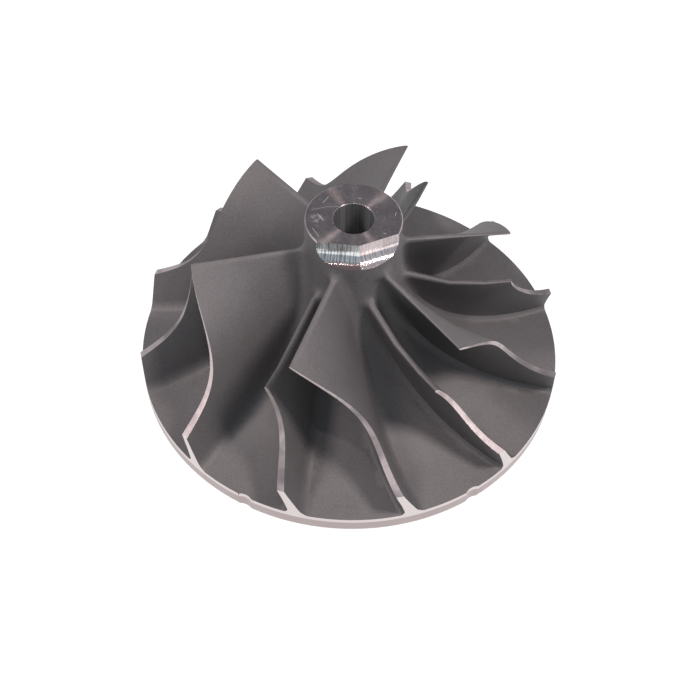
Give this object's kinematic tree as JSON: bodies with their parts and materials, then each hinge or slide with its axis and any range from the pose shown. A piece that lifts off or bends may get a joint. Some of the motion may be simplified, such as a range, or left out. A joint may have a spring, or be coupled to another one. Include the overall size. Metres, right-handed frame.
{
  "type": "compressor wheel",
  "caption": "Radial compressor wheel of a turbocharger: swept full blades and splitter blades on a curved hub with a flat back disc and a central bore",
  "frame": {"origin": "centre of the thrust face at the back of the wheel, on the axis", "axes": "+Z along the axis to the nose where air enters; +X and +Y square to it"},
  "size_m": [0.104, 0.104, 0.0542],
  "materials": {
    "machined_casting": "blasted casting with bright turned tips, rim, nose and bore"
  },
  "bodies": {
    "root": {"compressor_wheel": "machined_casting"}
  },
  "joints": []
}
